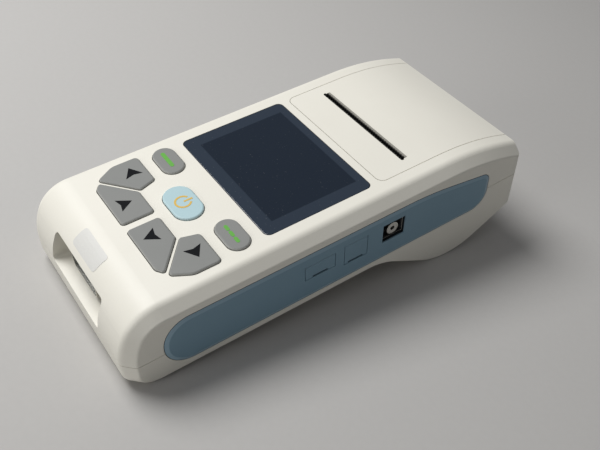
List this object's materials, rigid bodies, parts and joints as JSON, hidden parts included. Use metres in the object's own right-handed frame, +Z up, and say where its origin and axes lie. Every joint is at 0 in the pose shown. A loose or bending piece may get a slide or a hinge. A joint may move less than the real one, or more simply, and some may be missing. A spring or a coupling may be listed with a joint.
{
  "type": "ecg machine",
  "caption": "Handheld electrocardiograph with a display, press keys, port flaps, a nose socket for the patient lead and a hinged cover over a geared paper recorder.",
  "frame": {"origin": "middle of the bounding box, on the table the machine stands on", "axes": "+X to the machine's right, +Y from the socket nose to the printer end, +Z up from the table; the machine rests on its nose's lower edge and on the printer belly, so its top face is tilted 6.96 degrees nose down"},
  "size_m": [0.0972, 0.2068, 0.0575],
  "materials": {
    "white_case": "warm white satin moulding",
    "blue_strip": "muted steel blue, satin",
    "key_grey": "mid grey satin keys",
    "power_cyan": "pale cyan key",
    "window_dark": "dark tinted window",
    "panel_dark": "display panel",
    "sheet_steel": "plated sheet steel",
    "turned_steel": "ground steel shaft and screws",
    "silicone": "key mat silicone",
    "roller_rubber": "platen rubber",
    "board_green": "printed circuit board",
    "black_plastic": "black moulded plastic",
    "insert_plastic": "socket insulator",
    "gear_plastic": "acetal gear",
    "brass_bush": "bronze bush",
    "paper_white": "thermal paper",
    "card_core": "paper core",
    "cell_wrap": "battery wrap",
    "chrome_shell": "plated connector shell"
  },
  "bodies": {
    "case": {"top_case": "white_case", "bottom_case": "white_case", "cover_hinge_pin": "turned_steel", "display_window": "window_dark", "display_panel": "panel_dark", "display_frame": "sheet_steel", "key_mat": "silicone", "key_board": "board_green", "main_board": "board_green", "buzzer": "black_plastic", "case_screws": "turned_steel", "board_screws": "turned_steel", "key_board_screws": "turned_steel", "printer_screws": "turned_steel", "battery_door_screws": "turned_steel", "right_side_strip": "blue_strip", "left_side_strip": "blue_strip", "power_jack_body": "black_plastic", "power_jack_sleeve": "chrome_shell", "data_socket_shell": "chrome_shell", "data_socket_tongue": "black_plastic", "card_socket": "black_plastic", "lead_socket_shell": "chrome_shell", "lead_socket_insert": "insert_plastic", "lead_socket_posts": "chrome_shell", "battery_pack": "cell_wrap", "battery_door": "white_case", "printer_frame": "sheet_steel", "idler_axle": "turned_steel", "stepper_motor": "sheet_steel", "platen_bushes": "brass_bush", "thermal_head": "black_plastic", "head_spring": "sheet_steel"},
    "left_key": {"left_key": "key_grey"},
    "up_key": {"up_key": "key_grey"},
    "down_key": {"down_key": "key_grey"},
    "right_key": {"right_key": "key_grey"},
    "left_oval_key": {"left_oval_key": "key_grey"},
    "right_oval_key": {"right_oval_key": "key_grey"},
    "power_key": {"power_key": "power_cyan"},
    "cover": {"printer_cover": "white_case", "tear_bar": "sheet_steel"},
    "platen": {"platen_shaft": "turned_steel", "platen_roller": "roller_rubber", "platen_gear": "gear_plastic"},
    "idler": {"idler_gear": "gear_plastic"},
    "pinion": {"motor_pinion": "brass_bush", "motor_shaft": "turned_steel"},
    "paper": {"paper_roll": "paper_white", "paper_core": "card_core", "paper_spindle": "black_plastic"},
    "card_flap": {"card_port_flap": "blue_strip"},
    "data_flap": {"data_port_flap": "blue_strip"}
  },
  "joints": [
    {"name": "left_key_press", "type": "slide", "parent": "case", "child": "left_key", "axis": [0, 0.1212, -0.9926], "range_m": [0, 0.0008], "stiffness_N_per_m": 600},
    {"name": "up_key_press", "type": "slide", "parent": "case", "child": "up_key", "axis": [0, 0.1212, -0.9926], "range_m": [0, 0.0008], "stiffness_N_per_m": 600},
    {"name": "down_key_press", "type": "slide", "parent": "case", "child": "down_key", "axis": [0, 0.1212, -0.9926], "range_m": [0, 0.0008], "stiffness_N_per_m": 600},
    {"name": "right_key_press", "type": "slide", "parent": "case", "child": "right_key", "axis": [0, 0.1212, -0.9926], "range_m": [0, 0.0008], "stiffness_N_per_m": 600},
    {"name": "left_oval_key_press", "type": "slide", "parent": "case", "child": "left_oval_key", "axis": [0, 0.1212, -0.9926], "range_m": [0, 0.0008], "stiffness_N_per_m": 600},
    {"name": "right_oval_key_press", "type": "slide", "parent": "case", "child": "right_oval_key", "axis": [0, 0.1212, -0.9926], "range_m": [0, 0.0008], "stiffness_N_per_m": 600},
    {"name": "power_key_press", "type": "slide", "parent": "case", "child": "power_key", "axis": [0, 0.1212, -0.9926], "range_m": [0, 0.0008], "stiffness_N_per_m": 600},
    {"name": "cover_hinge", "type": "hinge", "parent": "case", "child": "cover", "pos_m": [0, 0.09757, 0.04359], "axis": [-1, 0, 0], "range_deg": [0, 90]},
    {"name": "card_flap_hinge", "type": "hinge", "parent": "case", "child": "card_flap", "pos_m": [0.0478, -0.01458, 0.03222], "axis": [0, -0.9926, -0.1212], "range_deg": [0, 90]},
    {"name": "data_flap_hinge", "type": "hinge", "parent": "case", "child": "data_flap", "pos_m": [0.0478, 0.00387, 0.03538], "axis": [0, -0.9926, -0.1212], "range_deg": [0, 90]},
    {"name": "platen_spin", "type": "hinge", "parent": "case", "child": "platen", "pos_m": [0, 0.04721, 0.04349], "axis": [1, 0, 0], "continuous": true},
    {"name": "idler_spin", "type": "hinge", "parent": "case", "child": "idler", "pos_m": [-0.0383, 0.03997, 0.02856], "axis": [1, 0, 0], "continuous": true},
    {"name": "pinion_spin", "type": "hinge", "parent": "case", "child": "pinion", "pos_m": [-0.0383, 0.02795, 0.02709], "axis": [1, 0, 0], "continuous": true},
    {"name": "paper_spin", "type": "hinge", "parent": "case", "child": "paper", "pos_m": [0, 0.07123, 0.02829], "axis": [1, 0, 0], "continuous": true}
  ],
  "couplings": [
    {"joint": "idler_spin", "follows": "platen_spin", "ratio": -0.83333},
    {"joint": "pinion_spin", "follows": "platen_spin", "ratio": 2.5},
    {"joint": "paper_spin", "follows": "platen_spin", "ratio": -0.26316}
  ]
}
